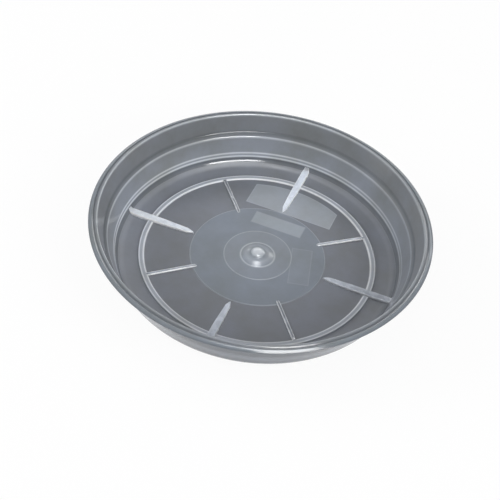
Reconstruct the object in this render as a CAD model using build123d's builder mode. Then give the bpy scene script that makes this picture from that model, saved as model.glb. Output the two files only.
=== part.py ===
from build123d import *
from math import acos, cos, degrees, radians, sin, sqrt, tan
import os

# A round plant saucer, moulded in one shot from natural polypropylene.
# Every moulded feature is a solid of its own, set face to face with its neighbours.
# The axis is Z, the ground is Z = 0, and the four long ribs lie on the X and Y axes.

# Shell, in millimetres and degrees
wall = 1.0
rim_diameter = 160.0
rim_height = 25.9
flange_width = 4.1
flange_drop = 0.7
lip_depth = 0.8
rim_depth = 3.4
crest_rounding = 0.7
lip_rounding = 0.38
root_rounding = 0.45
upper_wall_depth = 9.0
upper_draft = 17.9
step_width = 1.7
step_depth = 1.8
lower_draft = 20.3
heel_radius = 7.0

# Floor, from the standing ring inwards
ring_gap = 4.3
ring_width = 3.0
ring_height = 0.9
foot_drop = 0.4
field_rise = 0.5
centre_radius = 32.2
centre_step = 0.25
gate_disc_radius = 16.1
gate_disc_step = 0.15
dome_radius = 8.1
dome_rise = 1.6
dome_swell = 0.35
nipple_radius = 3.3
nipple_edge = 0.35
nipple_rise = 0.75

# Ribs that carry the pot
rib_count = 4
long_rib_gap = 1.0
long_rib_width = 3.5
long_rib_nose_width = 2.5
long_rib_nose = 3.5
long_rib_taper = 12.0
long_rib_height = 2.0
short_rib_angle = 39.6
short_rib_overlap = 2.2
short_rib_width = 1.65
short_rib_height = 0.7
short_rib_ramp = 1.5
rib_sector_angle = 14.0

# Bare label panels, raised on the underside of the floor
panel_height = 0.3
panel_corner = 0.8
size_panel_length = 25.4
size_panel_width = 7.9
size_panel_shift = 1.2
size_panel_gap = 4.25
name_panel_length = 43.6
name_panel_shift = 2.8
name_panel_gap = 0.6
name_panel_margin = 3.4
mark_panel_length = 23.0
mark_panel_width = 9.5
mark_panel_gap = 6.45
mark_panel_shift = 2.0
mark_panel_angle = 15.0

# Heights and radii that follow from the sizes above
lip_radius = rim_diameter / 2
lip_top = rim_height - flange_drop
lip_low = lip_top - lip_depth
rim_root = rim_height - rim_depth
crest_radius = lip_radius - flange_width
step_top = rim_height - upper_wall_depth
step_low = step_top - step_depth
step_top_radius = crest_radius - upper_wall_depth * tan(radians(upper_draft))
step_low_radius = step_top_radius - step_width
heel_corner = step_low_radius - (step_low - wall) * tan(radians(lower_draft))
heel_angle = 90 - lower_draft
heel_tangent = heel_radius * tan(radians(heel_angle / 2))
foot_radius = heel_corner - heel_tangent
heel_top = wall + heel_tangent * cos(radians(lower_draft))
heel_top_radius = heel_corner + heel_tangent * sin(radians(lower_draft))
ring_outer = foot_radius - ring_gap
ring_inner = ring_outer - ring_width
ring_radius = (ring_inner + ring_outer) / 2
field_edge_top = foot_drop + wall
field_inner_top = field_edge_top + field_rise
centre_top = field_inner_top + centre_step
gate_disc_top = centre_top + gate_disc_step
dome_top = gate_disc_top + dome_rise
rib_top = wall + long_rib_height
long_rib_start = centre_radius + long_rib_gap
short_rib_start = centre_radius - short_rib_overlap
size_panel_reach = centre_radius - size_panel_gap - size_panel_width / 2
mark_panel_reach = centre_radius - mark_panel_gap - mark_panel_width / 2
name_panel_start = centre_radius + name_panel_gap


def field_top(radius):
    """Height of the sloping floor at a radius."""
    share = (ring_inner - radius) / (ring_inner - centre_radius)
    return field_edge_top + field_rise * share


def outward(draft):
    """Unit vector square to the outside of a wall that leans out by draft."""
    return Vector(cos(radians(draft)), -sin(radians(draft)))


def outer_corner(inner, lower, upper):
    """Outside corner of the shell where two leaning walls meet."""
    both = outward(lower) + outward(upper)
    return inner + both * (wall / (1 + outward(lower).dot(outward(upper))))


def radial_plane(angle):
    """Upright plane through the axis, with radius along its X and height along its Y."""
    turn = radians(angle)
    return Plane(origin=(0, 0, 0), x_dir=(cos(turn), sin(turn), 0), z_dir=(sin(turn), -cos(turn), 0))


def finish(piece, name):
    """Label a finished piece and write it out."""
    piece.part.label = name
    export_step(piece.part, f"parts/{name}.step")


os.makedirs("parts", exist_ok=True)

# Inner and outer corners of the shell's section, radius first and height second
step_draft = 90 - Vector(step_width, step_depth).get_angle(Vector(1, 0))
step_top_inner = Vector(step_top_radius, step_top)
step_low_inner = Vector(step_low_radius, step_low)
step_top_outer = outer_corner(step_top_inner, step_draft, upper_draft)
step_low_outer = outer_corner(step_low_inner, lower_draft, step_draft)
heel_top_inner = Vector(heel_top_radius, heel_top)
heel_top_outer = heel_top_inner + outward(lower_draft) * wall
rim_root_inner = Vector(crest_radius - rim_depth * tan(radians(upper_draft)), rim_root)
rim_root_outer = rim_root_inner + Vector(wall / cos(radians(upper_draft)), 0)
flange_root_height = rim_height - wall - flange_drop * wall / flange_width
flange_root = Vector(
    rim_root_outer.X + (flange_root_height - rim_root) * tan(radians(upper_draft)),
    flange_root_height,
)

# Foot: the flat outer band of the floor, which stands on the ground
with BuildPart() as foot:
    with BuildSketch(Plane.XZ):
        with BuildLine():
            Polyline((ring_inner, 0), (foot_radius, 0), (foot_radius, wall), (ring_inner, wall), close=True)
        make_face()
    revolve(axis=Axis.Z)
finish(foot, "foot")

# Floor field: the floor inside the foot, rising gently to the centre
with BuildPart() as floor_field:
    with BuildSketch(Plane.XZ):
        with BuildLine():
            Polyline(
                (centre_radius, field_inner_top - wall),
                (ring_inner, field_edge_top - wall),
                (ring_inner, field_edge_top),
                (centre_radius, field_inner_top),
                close=True,
            )
        make_face()
    revolve(axis=Axis.Z)
finish(floor_field, "floor_field")

# Floor centre: the flat middle of the floor, one small step higher
with BuildPart() as floor_centre:
    with BuildSketch(Plane.XY.offset(centre_top - wall)):
        Circle(centre_radius)
        Circle(gate_disc_radius, mode=Mode.SUBTRACT)
    extrude(amount=wall)
finish(floor_centre, "floor_centre")

# Gate disc: the round left by the mould's centre insert
with BuildPart() as gate_disc:
    with BuildSketch(Plane.XY.offset(centre_top - wall)):
        Circle(gate_disc_radius)
        Circle(dome_radius, mode=Mode.SUBTRACT)
    extrude(amount=wall + gate_disc_step)
finish(gate_disc, "gate_disc")

# Gate dome: the hollow swelling that keeps the gate mark clear of the ground
dome_low = centre_top - wall
with BuildPart() as gate_dome:
    with BuildSketch(Plane.XZ):
        with BuildLine():
            Polyline((dome_radius, gate_disc_top), (dome_radius, dome_low))
            ThreePointArc(
                (dome_radius, dome_low),
                ((dome_radius + nipple_radius) / 2, (dome_low + dome_top - wall) / 2 + dome_swell),
                (nipple_radius, dome_top - wall),
            )
            Polyline(
                (nipple_radius, dome_top - wall),
                (0, dome_top - wall),
                (0, dome_top),
                (nipple_radius, dome_top),
            )
            ThreePointArc(
                (nipple_radius, dome_top),
                ((dome_radius + nipple_radius) / 2, (gate_disc_top + dome_top) / 2 + dome_swell),
                (dome_radius, gate_disc_top),
            )
        make_face()
    revolve(axis=Axis.Z)
finish(gate_dome, "gate_dome")

# Gate nipple: the small button on top of the dome
nipple_edge_top = dome_top + nipple_edge
with BuildPart() as gate_nipple:
    with BuildSketch(Plane.XZ):
        with BuildLine():
            Polyline(
                (0, nipple_edge_top + nipple_rise),
                (0, dome_top),
                (nipple_radius, dome_top),
                (nipple_radius, nipple_edge_top),
            )
            TangentArc((0, nipple_edge_top + nipple_rise), (nipple_radius, nipple_edge_top), tangent=(1, 0))
        make_face()
    revolve(axis=Axis.Z)
finish(gate_nipple, "gate_nipple")

# Standing ring: the rounded bead on the floor that the outer ends of the short ribs meet
ring_crown = (ring_radius, wall + ring_height)
with BuildPart() as stand_ring:
    with BuildSketch(Plane.XZ):
        with BuildLine():
            Polyline((ring_inner, field_edge_top), (ring_inner, wall), (ring_outer, wall))
            ThreePointArc((ring_inner, field_edge_top), ring_crown, (ring_outer, wall))
        make_face()
    revolve(axis=Axis.Z)
finish(stand_ring, "stand_ring")

# Heel: the large curve from the foot up into the wall
heel_centre = (foot_radius, wall + heel_radius)
with BuildPart() as heel:
    with BuildSketch(Plane.XZ):
        with BuildLine():
            CenterArc(heel_centre, heel_radius, 270, heel_angle)
            Line(heel_top_inner, heel_top_outer)
            CenterArc(heel_centre, heel_radius + wall, 270, heel_angle)
            Line((foot_radius, 0), (foot_radius, wall))
        make_face()
    revolve(axis=Axis.Z)
finish(heel, "heel")

# Lower wall: the leaning wall between the heel and the step
with BuildPart() as lower_wall:
    with BuildSketch(Plane.XZ):
        with BuildLine():
            Polyline(heel_top_inner, heel_top_outer, step_low_outer, step_low_inner, close=True)
        make_face()
    revolve(axis=Axis.Z)
finish(lower_wall, "lower_wall")

# Wall step: the slanting shoulder that stacked saucers sit on
with BuildPart() as wall_step:
    with BuildSketch(Plane.XZ):
        with BuildLine():
            Polyline(step_low_inner, step_low_outer, step_top_outer, step_top_inner, close=True)
        make_face()
    revolve(axis=Axis.Z)
finish(wall_step, "wall_step")

# Upper wall: from the step to the rim
with BuildPart() as upper_wall:
    with BuildSketch(Plane.XZ):
        with BuildLine():
            Polyline(step_top_inner, step_top_outer, rim_root_outer, rim_root_inner, close=True)
        make_face()
    revolve(axis=Axis.Z)
finish(upper_wall, "upper_wall")

# Rim: the crest at the top of the wall and the flange that slopes out to a rounded lip
rim_roundings = [crest_rounding, lip_rounding, lip_rounding, root_rounding]
with BuildPart() as rim:
    with BuildSketch(Plane.XZ):
        with BuildLine():
            FilletPolyline(
                rim_root_inner,
                (crest_radius, rim_height),
                (lip_radius, lip_top),
                (lip_radius, lip_low),
                flange_root,
                rim_root_outer,
                radius=rim_roundings,
            )
            Line(rim_root_outer, rim_root_inner)
        make_face()
    revolve(axis=Axis.Z)
finish(rim, "rim")

# Long ribs: four flat-topped bars on the floor, over the ring and out to the heel
rib_heel_angle = degrees(acos(1 - long_rib_height / heel_radius))
rib_end = foot_radius + sqrt(heel_radius**2 - (heel_radius - long_rib_height) ** 2)
rib_nose_end = long_rib_start + long_rib_nose
rib_reach = rib_end + wall
rib_foot = (long_rib_start, field_top(long_rib_start))
for number in range(1, rib_count + 1):
    turn = (number - 1) * 360 / rib_count
    with BuildPart() as long_rib:
        with BuildSketch(Plane.XY.rotated((0, 0, turn))):
            with BuildLine():
                Polyline(
                    (long_rib_start, 0),
                    (rib_nose_end, long_rib_nose_width / 2),
                    (rib_nose_end + long_rib_taper, long_rib_width / 2),
                    (rib_reach, long_rib_width / 2),
                    (rib_reach, -long_rib_width / 2),
                    (rib_nose_end + long_rib_taper, -long_rib_width / 2),
                    (rib_nose_end, -long_rib_nose_width / 2),
                    close=True,
                )
            make_face()
        extrude(amount=rib_top + wall)
        with BuildSketch(radial_plane(turn - rib_sector_angle / 2)):
            with BuildLine():
                Line(rib_foot, (ring_inner, field_edge_top))
                ThreePointArc((ring_inner, field_edge_top), ring_crown, (ring_outer, wall))
                Line((ring_outer, wall), (foot_radius, wall))
                CenterArc(heel_centre, heel_radius, 270, rib_heel_angle)
                Line((rib_end, rib_top), (rib_nose_end, rib_top))
                TangentArc((rib_nose_end, rib_top), rib_foot, tangent=(-1, 0))
            make_face()
        revolve(axis=Axis.Z, revolution_arc=rib_sector_angle, mode=Mode.INTERSECT)
    finish(long_rib, f"long_rib_{number}")

# Short ribs: four slim bars from the centre to the ring
short_top_start = short_rib_start + short_rib_ramp
for number in range(1, rib_count + 1):
    turn = short_rib_angle + (number - 1) * 360 / rib_count
    with BuildPart() as short_rib:
        with BuildSketch(Plane.XY.rotated((0, 0, turn))):
            with Locations(((short_rib_start + ring_outer) / 2, 0)):
                Rectangle(ring_outer - short_rib_start, short_rib_width)
        extrude(amount=rib_top + wall)
        with BuildSketch(radial_plane(turn - rib_sector_angle / 2)):
            with BuildLine():
                Polyline(
                    (short_rib_start, centre_top),
                    (centre_radius, centre_top),
                    (centre_radius, field_inner_top),
                    (ring_inner, field_edge_top),
                    (ring_inner, field_edge_top + short_rib_height),
                    (short_top_start, field_top(short_top_start) + short_rib_height),
                    close=True,
                )
            make_face()
        revolve(axis=Axis.Z, revolution_arc=rib_sector_angle, mode=Mode.INTERSECT)
    finish(short_rib, f"short_rib_{number}")

# Size panel: a bare oblong under the floor centre
centre_low = centre_top - wall
with BuildPart() as size_panel:
    with BuildSketch(Plane.XY.offset(centre_low)):
        with Locations((size_panel_shift, size_panel_reach)):
            RectangleRounded(size_panel_length, size_panel_width, panel_corner)
    extrude(amount=-panel_height)
finish(size_panel, "size_panel")

# Mark panel: a second bare oblong under the floor centre
with BuildPart() as mark_panel:
    with BuildSketch(Plane.XY.offset(centre_low)):
        with Locations(Location((mark_panel_reach, mark_panel_shift), mark_panel_angle)):
            RectangleRounded(mark_panel_width, mark_panel_length, panel_corner)
    extrude(amount=-panel_height)
finish(mark_panel, "mark_panel")

# Name panel: a large bare plate that follows the slope under the floor field
name_panel_top = ring_inner - name_panel_margin
with BuildPart() as name_panel:
    with BuildSketch(Plane.XY):
        Circle(name_panel_top)
        with Locations((name_panel_shift, (name_panel_start + ring_inner) / 2)):
            Rectangle(name_panel_length, ring_inner - name_panel_start, mode=Mode.INTERSECT)
    extrude(amount=centre_top)
    with BuildSketch(Plane.XZ):
        with BuildLine():
            Polyline(
                (centre_radius, field_inner_top - wall),
                (ring_inner, field_edge_top - wall),
                (ring_inner, field_edge_top - wall - panel_height),
                (centre_radius, field_inner_top - wall - panel_height),
                close=True,
            )
        make_face()
    revolve(axis=Axis.Z, mode=Mode.INTERSECT)
finish(name_panel, "name_panel")
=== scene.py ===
import math
import bmesh
import bpy
from mathutils import Matrix, Vector


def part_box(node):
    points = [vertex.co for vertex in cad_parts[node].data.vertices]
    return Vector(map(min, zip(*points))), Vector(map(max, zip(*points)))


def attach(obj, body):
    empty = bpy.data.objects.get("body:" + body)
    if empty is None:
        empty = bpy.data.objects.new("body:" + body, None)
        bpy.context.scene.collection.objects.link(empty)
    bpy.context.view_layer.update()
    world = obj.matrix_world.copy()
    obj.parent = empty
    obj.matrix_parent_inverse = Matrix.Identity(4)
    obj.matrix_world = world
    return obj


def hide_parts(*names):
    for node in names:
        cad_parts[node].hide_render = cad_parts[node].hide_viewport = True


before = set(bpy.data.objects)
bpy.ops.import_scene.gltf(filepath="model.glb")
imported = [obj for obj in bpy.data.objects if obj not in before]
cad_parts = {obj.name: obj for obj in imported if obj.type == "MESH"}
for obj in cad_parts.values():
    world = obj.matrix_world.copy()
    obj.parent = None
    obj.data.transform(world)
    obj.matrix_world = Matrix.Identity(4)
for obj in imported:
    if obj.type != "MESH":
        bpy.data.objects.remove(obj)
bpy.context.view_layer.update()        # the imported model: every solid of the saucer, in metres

# Shell: floor, heel, stepped wall and rim, one skin of natural polypropylene about 1 mm thick.
# It is injection-moulded in one shot through the button at the centre, so nothing is fastened:
# the section below, a radius and a height at each corner, is turned about the upright axis.
mm = 0.001


def radius_of(node):
    """Outer radius of a turned solid."""
    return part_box(node)[1].x


def low_of(node):
    """Lowest level of a solid."""
    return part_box(node)[0].z


def top_of(node):
    """Highest level of a solid."""
    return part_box(node)[1].z


wall = top_of("foot") - low_of("foot")
flange_width = 4.1 * mm
flange_drop = 0.7 * mm
lip_depth = 0.8 * mm
groove_inset = 2.4 * mm
crest_rounded_off = 0.09 * mm
upper_wall_depth = 9.0 * mm
upper_lean = math.tan(math.radians(17.9))
step_width = 1.7 * mm
step_depth = 1.8 * mm
lower_lean = math.tan(math.radians(20.3))
heel_rounding = 4.6 * mm
heel_outer_rounding = 7.3 * mm
edge = 0.12 * mm
bead = 0.45 * mm

crest_corner = top_of("rim") + crest_rounded_off
lip_radius = radius_of("rim")
lip_top = crest_corner - flange_drop
lip_low = lip_top - lip_depth
crest_radius = lip_radius - flange_width
groove_radius = lip_radius - groove_inset
step_top = crest_corner - upper_wall_depth
step_low = step_top - step_depth
step_top_radius = crest_radius - (crest_corner - step_top) * upper_lean
step_low_radius = step_top_radius - step_width
heel_corner = step_low_radius - (step_low - wall) * lower_lean
ring_inner = radius_of("floor_field")
ring_outer = radius_of("stand_ring")
ring_top = top_of("stand_ring")
field_edge_top = low_of("floor_field") + wall
field_inner_top = top_of("floor_field")
centre_radius = radius_of("floor_centre")
centre_top = top_of("floor_centre")
gate_radius = radius_of("gate_disc")
gate_top = top_of("gate_disc")
dome_radius = radius_of("gate_dome")
dome_top = top_of("gate_dome")
nipple_radius = radius_of("gate_nipple")
nipple_top = top_of("gate_nipple")

# Each corner is a radius, a height and the rounding that the mould gives it, from the button to the crest.
inside = [
    (0.0, nipple_top, 0.0),
    (0.7 * nipple_radius, nipple_top - 0.15 * mm, 2.0 * mm),
    (nipple_radius, dome_top + 0.4 * mm, 0.3 * mm),
    (nipple_radius + 0.2 * mm, dome_top - 0.1 * mm, 0.3 * mm),
    (0.66 * dome_radius, 0.68 * dome_top + 0.32 * gate_top, 3.0 * mm),
    (dome_radius, gate_top, 0.9 * mm),
    (gate_radius, gate_top, edge),
    (gate_radius + edge, centre_top, edge),
    (centre_radius, centre_top, edge),
    (centre_radius + edge, field_inner_top, edge),
    (ring_inner, field_edge_top, 0.2 * mm),
    (ring_inner + 0.35 * mm, ring_top, bead),
    (ring_outer - 0.35 * mm, ring_top, bead),
    (ring_outer, wall, 0.2 * mm),
    (heel_corner, wall, heel_rounding),
    (step_low_radius, step_low, 1.5 * mm),
    (step_top_radius, step_top, 1.0 * mm),
    (crest_radius, crest_corner + 0.02 * mm, 0.9 * mm),
]


def skin(before, here, after):
    """The corner that lies one wall thickness outside an inner corner."""
    sides = [(Vector(b[:2]) - Vector(a[:2])).normalized() for a, b in ((before, here), (here, after))]
    first, second = [Vector((side.y, -side.x)) for side in sides]
    return tuple(Vector(here[:2]) + (first + second) * wall / (1 + first.dot(second)))


# The way back, over the groove and ridge of the flange, round the lip and down the outside to the axis.
wall_corners = inside[-5:] + [(lip_radius, lip_top - 0.1 * mm, 0.0)]
heel_skin, step_low_skin, step_top_skin, flange_root = [
    skin(*wall_corners[i:i + 3]) for i in range(4)]
outside = [
    (groove_radius - 0.55 * mm, crest_corner - 0.2 * mm, 0.5 * mm),
    (groove_radius, crest_corner - 0.62 * mm, 0.3 * mm),
    (groove_radius + 1.0 * mm, crest_corner - 0.3 * mm, 1.0 * mm),
    (lip_radius, lip_low + 0.35 * mm, 0.3 * mm),
    (lip_radius, lip_low, 0.15 * mm),
    (*flange_root, bead),
    (*step_top_skin, bead),
    (*step_low_skin, bead),
    (*heel_skin, heel_outer_rounding),
    (ring_inner, 0.0, 0.2 * mm),
    (ring_inner - edge, field_edge_top - wall, 0.1 * mm),
    (centre_radius, field_inner_top - wall, edge),
    (centre_radius - edge, centre_top - wall, edge),
    (dome_radius, centre_top - wall, 0.9 * mm),
    (0.62 * dome_radius, dome_top - 1.2 * wall, 2.5 * mm),
    (0.0, dome_top - wall, 0.0),
]


def rounded(corners, steps_per_turn=48):
    """Points along a path of corners, each cut by the arc that touches its two sides."""
    points = [Vector(corners[0][:2])]
    for before, here, after in zip(corners, corners[1:], corners[2:]):
        corner = Vector(here[:2])
        back = Vector(before[:2]) - corner
        on = Vector(after[:2]) - corner
        turn = math.pi - back.angle(on)
        reach = min(here[2] * math.tan(turn / 2), 0.48 * back.length, 0.48 * on.length)
        radius = reach / math.tan(turn / 2)
        start = corner + back.normalized() * reach
        middle = corner + (back.normalized() + on.normalized()).normalized() * (radius / math.cos(turn / 2))
        steps = max(3, round(steps_per_turn * turn / math.tau))
        side = 1 if back.x * on.y - back.y * on.x < 0 else -1
        for step in range(steps + 1):
            spoke = start - middle
            spoke.rotate(Matrix.Rotation(side * turn * step / steps, 2))
            points.append(middle + spoke)
    points.append(Vector(corners[-1][:2]))
    return points


def add(tree, kind, inputs=None, **settings):
    """Adds a node with its settings, and sets or links its inputs."""
    node = tree.nodes.new(kind)
    for name, value in settings.items():
        setattr(node, name, value)
    for name, value in (inputs or {}).items():
        if isinstance(value, bpy.types.NodeSocket):
            tree.links.new(value, node.inputs[name])
        else:
            node.inputs[name].default_value = value
    return node


def linear(hex_colour):
    """An sRGB hex colour as linear RGBA."""
    parts = [int(hex_colour[i:i + 2], 16) / 255 for i in (1, 3, 5)]
    return [c / 12.92 if c <= 0.04045 else ((c + 0.055) / 1.055) ** 2.4 for c in parts] + [1.0]


def new_material(name):
    """An empty node material."""
    material = bpy.data.materials.new(name)
    material.use_nodes = True
    material.node_tree.nodes.clear()
    return material


def tone_ramp(tree, value, stops, start=0.0, end=1.0):
    """A colour for each stop of a value that runs from start to end, blended in between."""
    share = add(tree, "ShaderNodeMapRange", {"Value": value, 1: start, 2: end}).outputs[0]
    node = add(tree, "ShaderNodeValToRGB", {"Fac": share})
    ramp = node.color_ramp
    while len(ramp.elements) < len(stops):
        ramp.elements.new(1.0)
    for element, (stop, colour) in zip(ramp.elements, stops):
        element.position = (stop - start) / (end - start)
        element.color = linear(colour)
    return node.outputs["Color"]


# Natural polypropylene, moulded against polished steel: a hazy, slightly blue smoke grey with a clean gloss.
# Each bead, step and edge has a painted highlight: a fine pale line in the colour, where light would catch
# its rounding.
polypropylene = new_material("natural_polypropylene")
tree = polypropylene.node_tree
coordinates = add(tree, "ShaderNodeTexCoord")
place = coordinates.outputs["Object"]
flat = add(tree, "ShaderNodeVectorMath", {0: place, 1: (1, 1, 0)}, operation="MULTIPLY").outputs[0]
radius = add(tree, "ShaderNodeVectorMath", {0: flat}, operation="LENGTH").outputs["Value"]
floor_end = ring_outer + 1.5 * mm
# Painted highlights: the pale stops at the button, on the dome's edge, at the two fine circles and on the two
# edges of the ring stand in for light caught by their roundings.
floor_tone = tone_ramp(tree, radius, [
    (0.0, "#dbe0e9"),
    (0.6 * nipple_radius, "#d3d8e1"),
    (nipple_radius, "#b4bac4"),
    (nipple_radius + 0.3 * mm, "#979da7"),
    (0.7 * dome_radius, "#a9afb9"),
    (dome_radius - 0.6 * mm, "#979da7"),
    (dome_radius, "#b2b8c1"),
    (dome_radius + 0.7 * mm, "#808792"),
    (gate_radius - 0.4 * mm, "#7f8691"),
    (gate_radius, "#a4aab4"),
    (gate_radius + 0.4 * mm, "#78808c"),
    (centre_radius - 0.35 * mm, "#767e8a"),
    (centre_radius, "#9da4ae"),
    (centre_radius + 0.45 * mm, "#6f737d"),
    (ring_inner - 0.3 * mm, "#6e727c"),
    (ring_inner + 0.3 * mm, "#f3f5fb"),
    (ring_inner + 0.9 * mm, "#a3a8b4"),
    (ring_outer - 1.15 * mm, "#a3a8b4"),
    (ring_outer - 0.65 * mm, "#eef1f8"),
    (ring_outer - 0.1 * mm, "#9a9faa"),
    (ring_outer + 0.3 * mm, "#7a7e88"),
    (floor_end, "#7a7e88"),
], 0.0, floor_end)
heel_line = heel_corner + 1.6 * mm
# Painted shade and highlights: the dark stops in the heel corner, in the step's concave corner and in the
# groove are painted shade, and the pale stop at the crest is a painted highlight.
wall_tone = tone_ramp(tree, radius, [
    (floor_end, "#7a7e88"),
    (heel_line - 2.6 * mm, "#7c8089"),
    (heel_line - 1.1 * mm, "#71757c"),
    (heel_line - 0.3 * mm, "#6d7178"),
    (heel_line + 0.1 * mm, "#7c818a"),
    (heel_line + 0.75 * mm, "#7c818a"),
    (step_low_radius + 0.4 * mm, "#7d8188"),
    (step_top_radius - 0.2 * mm, "#666a6f"),
    (step_top_radius + 0.3 * mm, "#808388"),
    (crest_radius - 0.4 * mm, "#818489"),
    (crest_radius + 0.5 * mm, "#989ca3"),
    (groove_radius - 0.5 * mm, "#767a81"),
    (groove_radius + 0.2 * mm, "#545960"),
    (groove_radius + 0.6 * mm, "#82888f"),
    (lip_radius - 1.2 * mm, "#888e96"),
    (lip_radius - 0.5 * mm, "#7c828a"),
    (lip_radius, "#6c727a"),
], floor_end, lip_radius)

# Painted highlights on the roundings of the heel, the step and the crest, painted brightest towards the back
# left.
painted_highlight_lines = tone_ramp(tree, radius, [
    (heel_line - 0.3 * mm, "#000000"),
    (heel_line, "#ffffff"),
    (heel_line + 0.15 * mm, "#8a8a8a"),
    (heel_line + 0.4 * mm, "#8a8a8a"),
    (heel_line + 0.55 * mm, "#ffffff"),
    (heel_line + 0.8 * mm, "#727272"),
    (step_low_radius - 0.4 * mm, "#626262"),
    (step_low_radius, "#cccccc"),
    (step_low_radius + 0.35 * mm, "#000000"),
    (crest_radius - 0.35 * mm, "#000000"),
    (crest_radius + 0.05 * mm, "#d0d0d0"),
    (crest_radius + 0.45 * mm, "#000000"),
], floor_end, lip_radius)
painted_light_side = (-0.88, 0.47, 0)
along = add(tree, "ShaderNodeVectorMath", {0: place, 1: painted_light_side}, operation="DOT_PRODUCT").outputs["Value"]
painted_light_share = add(tree, "ShaderNodeMapRange", {
    "Value": along, 1: -40 * mm, 2: 50 * mm, 3: 0.36, 4: 1.0}).outputs[0]
line_share = add(tree, "ShaderNodeMath", {0: painted_highlight_lines, 1: painted_light_share}, operation="MULTIPLY").outputs[0]
lined_wall = add(tree, "ShaderNodeMix", {
    0: line_share, 6: wall_tone, 7: linear("#eaeef5")}, data_type="RGBA").outputs[2]
on_wall = add(tree, "ShaderNodeMath", {0: radius, 1: floor_end}, operation="GREATER_THAN").outputs[0]
plain_tone = add(tree, "ShaderNodeMix", {
    0: on_wall, 6: floor_tone, 7: lined_wall}, data_type="RGBA").outputs[2]
# Painted light: inside the heel the floor is painted paler towards the back left and darker towards the front
# right.
painted_floor_light = add(tree, "ShaderNodeMapRange", {
    "Value": along, 1: -62 * mm, 2: 62 * mm, 3: 0.82, 4: 1.2}).outputs[0]
past_heel = add(tree, "ShaderNodeMapRange", {"Value": radius, 1: heel_corner, 2: heel_line}).outputs[0]
floor_painted_light = add(tree, "ShaderNodeMix", {0: past_heel, 2: painted_floor_light, 3: 1.0}).outputs[0]
inner_tone = add(tree, "ShaderNodeVectorMath", {
    0: plain_tone, "Scale": floor_painted_light}, operation="SCALE").outputs[0]

# Outside and underneath there are no painted highlight lines, and the tone goes by height: one smoke grey,
# with a paler band of painted light where the wall leaves the heel and a darker band of painted shade below
# the step.
facing = add(tree, "ShaderNodeSeparateXYZ", {0: coordinates.outputs["Normal"]}).outputs["Z"]
upward = add(tree, "ShaderNodeMapRange", {"Value": facing, 1: -0.15, 2: 0.05}).outputs[0]
height = add(tree, "ShaderNodeSeparateXYZ", {0: place}).outputs["Z"]
outer_tone = tone_ramp(tree, height, [
    (0.0, "#595f67"),
    (3.0 * mm, "#575d65"),
    (6.0 * mm, "#5b616a"),
    (8.4 * mm, "#737a83"),
    (10.0 * mm, "#737a83"),
    (12.2 * mm, "#454c55"),
    (15.0 * mm, "#454c55"),
    (18.0 * mm, "#5b626b"),
    (lip_low - 0.3 * mm, "#5b626b"),
    (lip_low + 0.2 * mm, "#656b73"),
    (crest_corner, "#656b73"),
], 0.0, crest_corner)
toned = add(tree, "ShaderNodeMix", {0: upward, 6: outer_tone, 7: inner_tone}, data_type="RGBA").outputs[2]

# The label panels lie under the floor, and the extra plastic shows through it as a paler, milkier patch.
label_reach = ring_inner - 3.4 * mm
mark_turn = math.radians(15)
mark_size = (9.5 * mm, 23.0 * mm)


def size_of(node):
    """Length and width of a solid that lies square to the axes."""
    low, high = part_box(node)
    return high.x - low.x, high.y - low.y


def plastic_under(node, turn, size):
    """Marks the oblong of a label panel, seen through the floor, and its fine outline."""
    low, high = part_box(node)
    local = add(tree, "ShaderNodeMapping", {
        "Vector": flat, "Location": ((low.x + high.x) / 2, (low.y + high.y) / 2, 0),
        "Rotation": (0, 0, turn)}, vector_type="TEXTURE").outputs[0]
    away = add(tree, "ShaderNodeVectorMath", {0: local}, operation="ABSOLUTE").outputs[0]
    half_size = (size[0] / 2, size[1] / 2, 0)
    past = add(tree, "ShaderNodeVectorMath", {0: away, 1: half_size}, operation="SUBTRACT").outputs[0]
    axes = add(tree, "ShaderNodeSeparateXYZ", {0: past}).outputs
    sides = add(tree, "ShaderNodeMath", {0: axes["X"], 1: axes["Y"]}, operation="MAXIMUM").outputs[0]
    over = add(tree, "ShaderNodeMath", {0: radius, 1: label_reach}, operation="SUBTRACT").outputs[0]
    gap = add(tree, "ShaderNodeMath", {0: sides, 1: over}, operation="MAXIMUM").outputs[0]
    fill = add(tree, "ShaderNodeMapRange", {"Value": gap, 1: 0.15 * mm, 2: -0.15 * mm}).outputs[0]
    side = add(tree, "ShaderNodeMath", {0: gap}, operation="ABSOLUTE").outputs[0]
    outline = add(tree, "ShaderNodeMapRange", {"Value": side, 1: 0.4 * mm, 2: 0.1 * mm}).outputs[0]
    return fill, outline


for node, turn, size, fill_strength, outline_strength in (
    ("size_panel", 0.0, size_of("size_panel"), 0.48, 0.3),
    ("name_panel", 0.0, size_of("name_panel"), 0.58, 0.8),
    ("mark_panel", mark_turn, mark_size, 0.07, 0.2),
):
    fill, outline = plastic_under(node, turn, size)
    filled = add(tree, "ShaderNodeMath", {0: fill, 1: fill_strength}, operation="MULTIPLY").outputs[0]
    drawn = add(tree, "ShaderNodeMath", {0: outline, 1: outline_strength}, operation="MULTIPLY").outputs[0]
    milky = add(tree, "ShaderNodeMath", {0: filled, 1: drawn}, operation="MAXIMUM").outputs[0]
    toned = add(tree, "ShaderNodeMix", {
        0: milky, 6: toned, 7: linear("#b2b9c3")}, data_type="RGBA").outputs[2]

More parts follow.
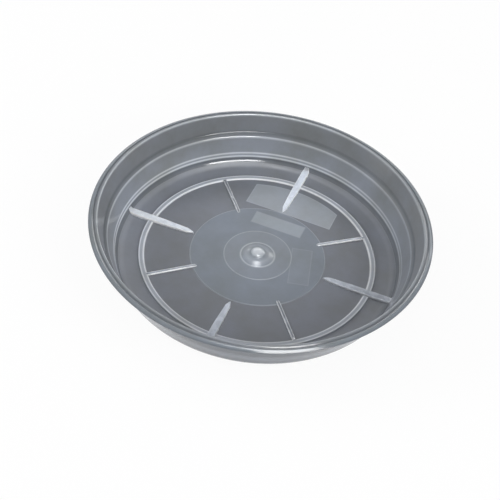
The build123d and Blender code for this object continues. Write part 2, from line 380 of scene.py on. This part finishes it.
# Haze in soft clouds, and flow marks left by the melt, which ripple the surface and vary its gloss.
# The floor is scuffed and dull out to the heel, and the wall and the button are polished.
cloud_size = 26 * mm
flow_mark_size = 9 * mm
haze = add(tree, "ShaderNodeTexNoise", {
    "Vector": place, "Scale": 1 / cloud_size, "Detail": 5.0, "Roughness": 0.65}).outputs["Fac"]
haze_tint = tone_ramp(tree, haze, [(0.36, "#e9e9e3"), (0.64, "#fbfdff")])
hazed = add(tree, "ShaderNodeMix", {
    0: 1.0, 6: toned, 7: haze_tint}, data_type="RGBA", blend_type="MULTIPLY").outputs[2]
flow = add(tree, "ShaderNodeTexNoise", {
    "Vector": place, "Scale": 1 / flow_mark_size, "Detail": 1.0}).outputs["Fac"]
polish = add(tree, "ShaderNodeMapRange", {
    "Value": radius, 1: heel_corner - 0.1 * mm, 2: heel_corner + 0.3 * mm, 3: 0.5, 4: 0.14}).outputs[0]
gate_polish = add(tree, "ShaderNodeMapRange", {
    "Value": radius, 1: dome_radius - 0.5 * mm, 2: dome_radius + 0.5 * mm, 3: 0.4, 4: 1.0}).outputs[0]
finish = add(tree, "ShaderNodeMath", {0: polish, 1: gate_polish}, operation="MULTIPLY").outputs[0]
worn = add(tree, "ShaderNodeMapRange", {"Value": flow, 1: 0.3, 2: 0.7, 3: 0.88, 4: 1.12}).outputs[0]
gloss = add(tree, "ShaderNodeMath", {0: finish, 1: worn}, operation="MULTIPLY").outputs[0]
swell = add(tree, "ShaderNodeBump", {
    "Height": flow, "Strength": 0.08, "Distance": 0.2 * mm}).outputs["Normal"]
plastic = add(tree, "ShaderNodeBsdfPrincipled", {
    "Base Color": hazed,
    "Roughness": gloss,
    "Normal": swell,
    "IOR": 1.49,
    "Transmission Weight": 0.12,
    "Sheen Weight": 0.2,
    "Sheen Roughness": 0.4,
    "Sheen Tint": linear("#e6e8f4"),
})
add(tree, "ShaderNodeOutputMaterial", {"Surface": plastic.outputs[0]})


def new_tree(name, inputs, output):
    """A geometry tree with named inputs, each with its kind, and one output."""
    tree = bpy.data.node_groups.new(name, "GeometryNodeTree")
    for label, kind in inputs:
        tree.interface.new_socket(label, in_out="INPUT", socket_type="NodeSocket" + kind)
    tree.interface.new_socket(output, in_out="OUTPUT", socket_type="NodeSocketGeometry")
    return tree


# The turning: the section is carried round a circle and closed on itself.
lathe = new_tree("turned about the axis", (
    ("Section", "Geometry"), ("Sides", "Int"), ("Path radius", "Float"), ("Plastic", "Material")), "Shell")
given = add(lathe, "NodeGroupInput").outputs
back = add(lathe, "ShaderNodeMath", {0: given["Path radius"], 1: -1.0}, operation="MULTIPLY")
shift = add(lathe, "ShaderNodeCombineXYZ", {"X": back.outputs[0]})
turned = add(lathe, "GeometryNodeTransform", {
    "Geometry": given["Section"], "Translation": shift.outputs[0], "Scale": (1, -1, 1)})
section = add(lathe, "GeometryNodeMeshToCurve", {"Mesh": turned.outputs[0]})
path = add(lathe, "GeometryNodeCurvePrimitiveCircle", {
    "Resolution": given["Sides"], "Radius": given["Path radius"]})
swept = add(lathe, "GeometryNodeCurveToMesh", {
    "Curve": path.outputs["Curve"], "Profile Curve": section.outputs[0]})
closed = add(lathe, "GeometryNodeMergeByDistance", {"Geometry": swept.outputs[0], "Distance": 1e-6})
smooth = add(lathe, "GeometryNodeSetShadeSmooth", {"Geometry": closed.outputs[0]})
real = add(lathe, "GeometryNodeRealizeInstances", {"Geometry": smooth.outputs[0]})
painted = add(lathe, "GeometryNodeSetMaterial", {"Geometry": real.outputs[0], "Material": given["Plastic"]})
add(lathe, "NodeGroupOutput", {"Shell": painted.outputs[0]})


def new_piece(name, vertices, edges, faces):
    """A new object at the origin with the given mesh."""
    mesh = bpy.data.meshes.new(name)
    mesh.from_pydata(vertices, edges, faces)
    mesh.update()
    piece = bpy.data.objects.new(name, mesh)
    bpy.context.scene.collection.objects.link(piece)
    return piece


def evaluated(piece, name, tree, values):
    """Runs a geometry tree on a piece with the given inputs and keeps the result as its plain mesh."""
    modifier = piece.modifiers.new(name, "NODES")
    modifier.node_group = tree
    for socket in tree.interface.items_tree:
        if socket.in_out == "INPUT" and socket.name in values:
            modifier[socket.identifier] = values[socket.name]
    bpy.context.view_layer.update()
    depsgraph = bpy.context.evaluated_depsgraph_get()
    mesh = bpy.data.meshes.new_from_object(piece.evaluated_get(depsgraph), depsgraph=depsgraph)
    piece.modifiers.remove(modifier)
    piece.data = mesh
    mesh.name = piece.name


section_line = rounded(inside + outside)
shell = new_piece(
    "saucer_shell",
    [(point.x, point.y, 0) for point in section_line],
    [(i, i + 1) for i in range(len(section_line) - 1)],
    [],
)
evaluated(shell, "turn", lathe, {"Sides": 256, "Path radius": ring_inner, "Plastic": polypropylene})
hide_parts("foot", "floor_field", "floor_centre", "gate_disc", "gate_dome", "gate_nipple",
            "stand_ring", "heel", "lower_wall", "wall_step", "upper_wall", "rim")
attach(shell, "root")

# Long ribs: four flat-topped bars that carry the pot, moulded with the floor and thicker than it is,
# so they look milky and pale. Each starts in a low pointed nose, crosses the ring and runs into the heel.
rib_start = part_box("long_rib_1")[0].x
rib_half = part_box("long_rib_1")[1].y
rib_top = top_of("long_rib_1")
rib_nose = 3.5 * mm
rib_nose_half = 1.25 * mm
rib_taper = 12.0 * mm
rib_rounding = 0.5 * mm
rib_tail = 1.5 * mm
tail_start = heel_corner - 0.3 * mm
tail_depth = 0.5 * mm
tail_proud = 0.12 * mm
nose_proud = 0.05 * mm
rooted = 0.25 * mm
inner_line = rounded(inside)


def level_at(reach):
    """Height of the saucer's inside at a radius."""
    for a, b in zip(inner_line, inner_line[1:]):
        if a.x <= reach <= b.x and b.x > a.x:
            return a.y + (b.y - a.y) * (reach - a.x) / (b.x - a.x)


def rib_mesh(name, stations, rounding, sink):
    """A closed bar along X, rounded on top: each station is a radius, a half width, a foot and a top."""
    arc_steps = 5
    vertices = []
    across = []
    for reach, half, foot, top in stations:
        round_off = min(rounding, 0.6 * half, 0.9 * (top - foot))
        section = [(-half, foot)]
        for step in range(arc_steps + 1):
            turn = math.pi * (1 - step / arc_steps / 2)
            side = -half + round_off + round_off * math.cos(turn)
            section.append((side, top - round_off + round_off * math.sin(turn)))
        section.append((0, top - sink))
        section += [(-side, level) for side, level in reversed(section[:-1])]
        vertices += [(reach, side, level) for side, level in section]
        across += [side / half for side, level in section]
    count = len(section)
    faces = []
    for row in range(len(stations) - 1):
        for i in range(count):
            j = (i + 1) % count
            faces.append((row * count + i, row * count + j, (row + 1) * count + j, (row + 1) * count + i))
    faces.append(tuple(range(count)))
    faces.append(tuple(range((len(stations) - 1) * count, len(stations) * count)))
    piece = new_piece(name, vertices, [], faces)
    shape = bmesh.new()
    shape.from_mesh(piece.data)
    bmesh.ops.recalc_face_normals(shape, faces=shape.faces)
    shape.to_mesh(piece.data)
    shape.free()
    piece.data.attributes.new("across", "FLOAT", "POINT").data.foreach_set("value", across)
    return piece


# Copies of one bar, evenly round the axis.
around = new_tree("set round the axis", (
    ("Bar", "Geometry"), ("Count", "Int"), ("First angle", "Float"), ("Plastic", "Material")), "Bars")
given = add(around, "NodeGroupInput").outputs
points = add(around, "GeometryNodePoints", {"Count": given["Count"]})
index = add(around, "GeometryNodeInputIndex")
pitch = add(around, "ShaderNodeMath", {0: math.tau, 1: given["Count"]}, operation="DIVIDE")
angle = add(around, "ShaderNodeMath", {
    0: index.outputs[0], 1: pitch.outputs[0], 2: given["First angle"]}, operation="MULTIPLY_ADD")
turn = add(around, "ShaderNodeCombineXYZ", {"Z": angle.outputs[0]})
smooth = add(around, "GeometryNodeSetShadeSmooth", {"Geometry": given["Bar"]})
copies = add(around, "GeometryNodeInstanceOnPoints", {
    "Points": points.outputs[0], "Instance": smooth.outputs[0], "Rotation": turn.outputs[0]})
real = add(around, "GeometryNodeRealizeInstances", {"Geometry": copies.outputs[0]})
painted = add(around, "GeometryNodeSetMaterial", {"Geometry": real.outputs[0], "Material": given["Plastic"]})
add(around, "NodeGroupOutput", {"Bars": painted.outputs[0]})


def milky_plastic_with_painted_light(name, middle_colour, highlight_colour, edge_share, painted_light_axis, both_ways, far_share):
    """The same polypropylene where it is thick: milky, with painted highlights at its edges and painted light
    that grows out along an axis.
    """
    material = new_material(name)
    tree = material.node_tree
    across = add(tree, "ShaderNodeAttribute", attribute_name="across").outputs["Fac"]
    side = add(tree, "ShaderNodeMath", {0: across}, operation="ABSOLUTE").outputs[0]
    edge_highlight = add(tree, "ShaderNodeMapRange", {
        "Value": side, 1: edge_share - 0.12, 2: edge_share + 0.12}).outputs[0]
    tone = add(tree, "ShaderNodeMix", {
        0: edge_highlight, 6: linear(middle_colour), 7: linear(highlight_colour)}, data_type="RGBA").outputs[2]
    place = add(tree, "ShaderNodeTexCoord").outputs["Object"]
    cloud_size = 3.5 * mm
    cloud = add(tree, "ShaderNodeTexNoise", {
        "Vector": place, "Scale": 1 / cloud_size, "Detail": 2.0}).outputs["Fac"]
    cloud_share = add(tree, "ShaderNodeMapRange", {
        "Value": cloud, 1: 0.3, 2: 0.7, 3: 0.94, 4: 1.05}).outputs[0]
    along = add(tree, "ShaderNodeVectorMath", {
        0: place, 1: painted_light_axis}, operation="DOT_PRODUCT").outputs["Value"]
    if both_ways:
        along = add(tree, "ShaderNodeMath", {0: along}, operation="ABSOLUTE").outputs[0]
    painted_light_gradient = add(tree, "ShaderNodeMapRange", {
        "Value": along, 1: -50 * mm, 2: 50 * mm, 3: far_share, 4: 1.2}).outputs[0]
    share = add(tree, "ShaderNodeMath", {0: cloud_share, 1: painted_light_gradient}, operation="MULTIPLY").outputs[0]
    clouded = add(tree, "ShaderNodeVectorMath", {0: tone, "Scale": share}, operation="SCALE").outputs[0]
    gloss = add(tree, "ShaderNodeMapRange", {"Value": cloud, 1: 0.3, 2: 0.7, 3: 0.22, 4: 0.32}).outputs[0]
    plastic = add(tree, "ShaderNodeBsdfPrincipled", {
        "Base Color": clouded, "Roughness": gloss, "IOR": 1.49,
        "Subsurface Weight": 0.8, "Subsurface Radius": (1, 1, 1), "Subsurface Scale": 2.5 * mm})
    add(tree, "ShaderNodeOutputMaterial", {"Surface": plastic.outputs[0]})
    return material


# Nose, straight and tail: the nose rises as a quarter round, and the tail turns up a little on the heel.
rib_stations = []
for share in (0.0, 0.08, 0.2, 0.35, 0.55, 0.78, 1.0):
    reach = rib_start + rib_nose * share
    half = (0.1 + 0.9 * share) * rib_nose_half
    floor = level_at(reach)
    rise = math.sqrt(1 - (1 - share) ** 2)
    rib_stations.append((reach, half, floor - rooted, floor + nose_proud + (rib_top - floor) * rise))
straight_start = rib_start + rib_nose
straight_steps = 16
for step in range(1, straight_steps + 1):
    reach = straight_start + (tail_start - straight_start) * step / straight_steps
    widening = min(1.0, (reach - straight_start) / rib_taper)
    half = rib_nose_half + (rib_half - rib_nose_half) * widening
    rib_stations.append((reach, half, level_at(reach) - rooted, rib_top))
tail_steps = 6
for step in range(1, tail_steps + 1):
    reach = tail_start + rib_tail * step / tail_steps
    half = rib_half * (1 - 0.25 * (step / tail_steps) ** 2)
    top = max(rib_top, level_at(reach) + tail_proud)
    rib_stations.append((reach, half, min(level_at(reach) - rooted, top - tail_depth), top))
long_ribs = rib_mesh("long_ribs", rib_stations, rib_rounding, 0.0)
# Painted highlights on the bars' edges and sides, and painted light that makes them paler towards the back
# left.
rib_plastic = milky_plastic_with_painted_light("milky_polypropylene_rib", "#d6dde9", "#f6f8fc", 0.92, painted_light_side, False, 0.5)
evaluated(long_ribs, "copies", around, {"Count": 4, "First angle": 0.0, "Plastic": rib_plastic})
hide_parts("long_rib_1", "long_rib_2", "long_rib_3", "long_rib_4")
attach(long_ribs, "root")

# They let light through, so they throw neither shadow nor glow on the floor.
long_ribs.visible_shadow = False
long_ribs.visible_diffuse = False

# Short ribs: four slim bars from the floor's centre to the ring, a little off the middle between the long
# ones. They are low and narrow, moulded with the floor, and their two rounded edges carry painted highlights,
# brightest on the two bars that lie across the light.
short_start = centre_radius - 2.2 * mm
short_ramp = 1.5 * mm
short_nose_height = 0.35 * mm
short_half = 0.82 * mm
short_height = 0.7 * mm
short_rounding = 0.28 * mm
short_groove = 0.18 * mm
short_angle = math.radians(39.6)
short_painted_light_axis = (0.77, 0.64, 0)
short_stations = []
for share in (0.0, 0.15, 0.4, 0.7, 1.0):
    reach = short_start + short_ramp * share
    rise = math.sqrt(1 - (1 - share) ** 2)
    half = (0.3 + 0.7 * rise) * short_half
    top = centre_top + nose_proud + short_nose_height * rise
    short_stations.append((reach, half, level_at(reach) - rooted, top))
short_steps = 8
for step in range(1, short_steps + 1):
    reach = centre_radius + 0.3 * mm + (ring_inner + 0.2 * mm - centre_radius) * step / short_steps
    floor = level_at(min(reach, ring_inner))
    short_stations.append((reach, short_half, floor - rooted, floor + short_height))
short_ribs = rib_mesh("short_ribs", short_stations, short_rounding, short_groove)
short_plastic = milky_plastic_with_painted_light(
    "milky_polypropylene_slim_rib", "#a1a8b3", "#f4f8ff", 0.5, short_painted_light_axis, True, -0.05)
evaluated(short_ribs, "copies", around, {"Count": 4, "First angle": short_angle, "Plastic": short_plastic})
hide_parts("short_rib_1", "short_rib_2", "short_rib_3", "short_rib_4")
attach(short_ribs, "root")

# Label panels: three thin plates raised on the underside of the floor, bare, and part of the same moulding.
# Their mould face was spark-eroded, so they have a matt grain where the rest is polished. The real grain is
# finer, and is drawn this coarse so that it shows.
grain_size = 0.35 * mm
grain_plastic = new_material("spark_eroded_polypropylene")
tree = grain_plastic.node_tree
place = add(tree, "ShaderNodeTexCoord").outputs["Object"]
grain = add(tree, "ShaderNodeTexNoise", {
    "Vector": place, "Scale": 1 / grain_size, "Detail": 2.0}).outputs["Fac"]
grain_tone = tone_ramp(tree, grain, [(0.3, "#848a92"), (0.7, "#969ca5")])
grain_bump = add(tree, "ShaderNodeBump", {
    "Height": grain, "Strength": 0.25, "Distance": 0.05 * mm}).outputs["Normal"]
grain_gloss = add(tree, "ShaderNodeMapRange", {"Value": grain, 1: 0.3, 2: 0.7, 3: 0.5, 4: 0.62}).outputs[0]
plastic = add(tree, "ShaderNodeBsdfPrincipled", {
    "Base Color": grain_tone, "Roughness": grain_gloss, "Normal": grain_bump, "IOR": 1.49})
add(tree, "ShaderNodeOutputMaterial", {"Surface": plastic.outputs[0]})
for node in ("size_panel", "mark_panel", "name_panel"):
    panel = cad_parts[node]
    panel.data.materials.clear()
    panel.data.materials.append(grain_plastic)

# Studio: a pale floor, a little below the foot so that the two faces don't meet, under soft light from all
# round. Five lamps show as reflections alone: a long key at the front right, two above, and faint ones at the
# side and back. Two fills light the walls without a reflection.
floor_paint = new_material("pale_studio_floor")
tree = floor_paint.node_tree
paint = add(tree, "ShaderNodeBsdfDiffuse", {"Color": linear("#f4f4f4")})
white = add(tree, "ShaderNodeEmission", {"Color": (1, 1, 1, 1), "Strength": 1.0})
rays = add(tree, "ShaderNodeLightPath").outputs
mirrored = add(tree, "ShaderNodeMath", {
    0: rays["Is Glossy Ray"], 1: rays["Is Transmission Ray"]}, operation="MAXIMUM").outputs[0]
seen = add(tree, "ShaderNodeMath", {0: rays["Is Camera Ray"], 1: mirrored}, operation="MAXIMUM").outputs[0]
whiteness = add(tree, "ShaderNodeMath", {0: seen, 1: 0.93}, operation="MULTIPLY").outputs[0]
sweep = add(tree, "ShaderNodeMixShader", {0: whiteness, 1: paint.outputs[0], 2: white.outputs[0]})
add(tree, "ShaderNodeOutputMaterial", {"Surface": sweep.outputs[0]})
floor_half = 3.0
floor_level = -0.05 * mm
studio_floor = new_piece("studio_floor", [
    (x * floor_half, y * floor_half, floor_level) for x, y in ((-1, -1), (1, -1), (1, 1), (-1, 1))
], [], [(0, 1, 2, 3)])
studio_floor.data.materials.append(floor_paint)

rib_azimuth = 17.3


def toward(azimuth, elevation):
    """Unit vector for a direction seen from the saucer, with the camera's side at azimuth 270."""
    a = math.radians(azimuth + rib_azimuth)
    e = math.radians(elevation)
    return Vector((math.cos(e) * math.cos(a), math.cos(e) * math.sin(a), math.sin(e)))


world = bpy.data.worlds.new("soft_studio")
bpy.context.scene.world = world
world.use_nodes = True
tree = world.node_tree
direction = add(tree, "ShaderNodeTexCoord").outputs["Generated"]
front = add(tree, "ShaderNodeVectorMath", {
    0: direction, 1: toward(285, 30)}, operation="DOT_PRODUCT").outputs["Value"]
brightness = add(tree, "ShaderNodeMapRange", {"Value": front, 1: -0.3, 2: 1.0, 3: 0.55, 4: 0.75}).outputs[0]
background = tree.nodes["Background"]
tree.links.new(brightness, background.inputs["Strength"])
background.inputs["Color"].default_value = linear("#fdfeff")


def softbox(name, azimuth, elevation, distance, width, depth, watts):
    """An oblong area lamp that looks at the saucer from a direction."""
    lamp = bpy.data.lights.new(name, "AREA")
    lamp.shape = "RECTANGLE"
    lamp.size = width
    lamp.size_y = depth
    lamp.energy = watts
    holder = bpy.data.objects.new(name, lamp)
    holder.location = toward(azimuth, elevation) * distance
    holder.rotation_euler = (-holder.location).to_track_quat("-Z", "Y").to_euler()
    bpy.context.scene.collection.objects.link(holder)
    return holder


softbox("key_softbox", 297, 28, 1.2, 0.8, 0.36, 20.0).visible_diffuse = False
softbox("top_softbox", 305, 65, 1.3, 0.5, 0.6, 15.0).visible_diffuse = False
softbox("overhead_panel", 278, 87, 1.3, 0.4, 0.4, 8.0).visible_diffuse = False
softbox("side_panel", 50, 27, 1.2, 0.5, 0.52, 2.4).visible_diffuse = False
softbox("back_panel", 92, 35, 1.2, 0.7, 0.2, 2.5).visible_diffuse = False
softbox("front_fill", 322, 28, 1.2, 0.7, 0.5, 6.0).visible_glossy = False
softbox("left_fill", 176, 25, 1.2, 0.7, 0.5, 7.0).visible_glossy = False

# Camera: as the photograph was taken, from the front at 45 degrees and 0.6 m away, turned a little about its
# own axis. The lens is given in pixels of the square picture.
elevation = math.radians(45.1)
roll = math.radians(6.84)
distance = 602.4 * mm
aim_right = -5.52 * mm
aim_up = -13.53 * mm
lens_pixels = 1300
image_pixels = 500
forward = Vector((0, math.cos(elevation), -math.sin(elevation)))
level = Vector((1, 0, 0))
upright = level.cross(forward)
right = level * math.cos(roll) + upright * math.sin(roll)
up = upright * math.cos(roll) - level * math.sin(roll)
rim_centre = Vector((0, 0, lip_low + 0.5 * mm))
view = Matrix((right, up, -forward)).transposed().to_4x4()
view.translation = rim_centre - forward * distance + right * aim_right + up * aim_up
camera_data = bpy.data.cameras.new("camera")
camera_data.sensor_width = 36.0
camera_data.lens = lens_pixels / image_pixels * camera_data.sensor_width
camera_data.clip_start = 0.01
camera = bpy.data.objects.new("camera", camera_data)
camera.matrix_world = Matrix.Rotation(math.radians(rib_azimuth), 4, "Z") @ view
bpy.context.scene.collection.objects.link(camera)
bpy.context.scene.camera = camera
bpy.context.scene.view_settings.view_transform = "Standard"
